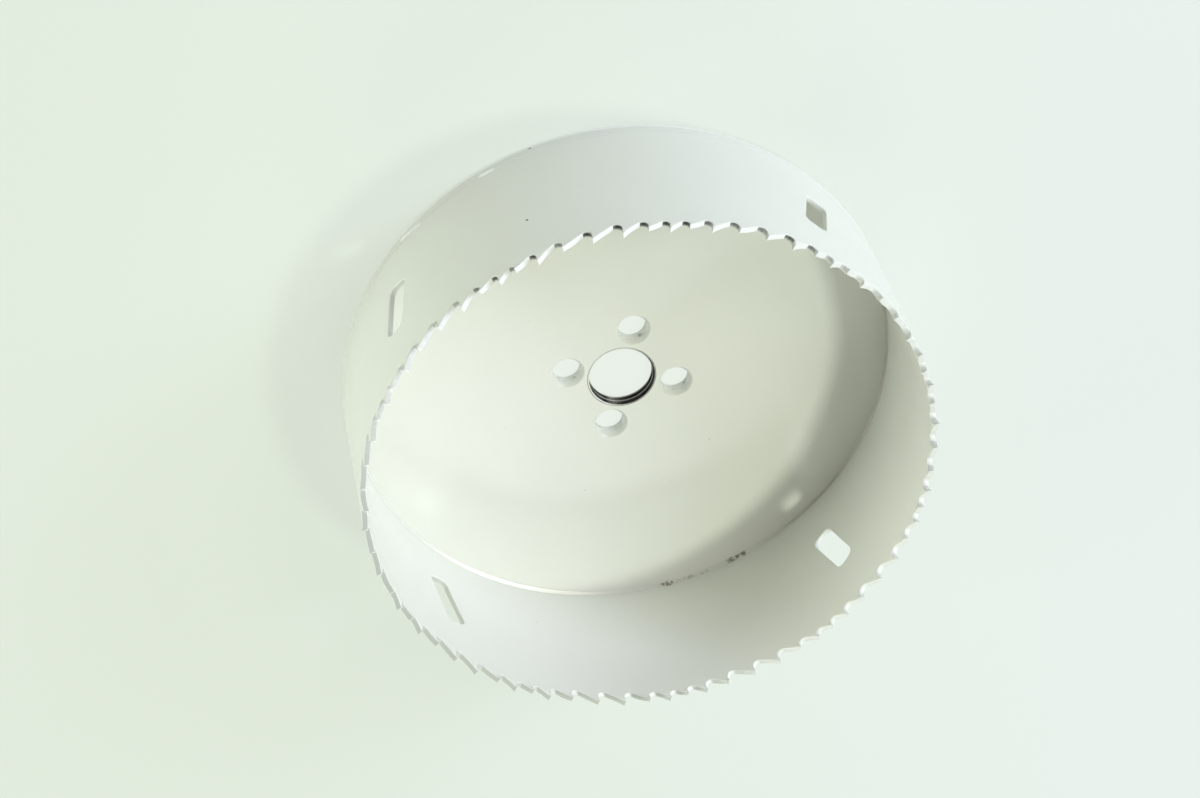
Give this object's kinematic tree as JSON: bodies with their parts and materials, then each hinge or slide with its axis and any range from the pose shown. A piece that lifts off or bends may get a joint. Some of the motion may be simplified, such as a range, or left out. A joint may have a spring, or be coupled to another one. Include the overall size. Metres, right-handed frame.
{
  "type": "hole saw",
  "caption": "Large-diameter hole saw: a toothed steel ring on a flat end cap with a threaded arbor hole, drive-pin holes and slanted slots in the wall.",
  "frame": {"origin": "centre of the end cap's outer face, on which the saw stands", "axes": "+Z along the saw's axis towards the teeth; the slots lie near +X, +Y, -X and -Y"},
  "size_m": [0.1269, 0.1266, 0.0432],
  "materials": {
    "enamel": "semi-gloss white enamel"
  },
  "bodies": {
    "root": {"saw_band": "enamel", "end_cap": "enamel", "cap_weld": "enamel"}
  },
  "joints": []
}
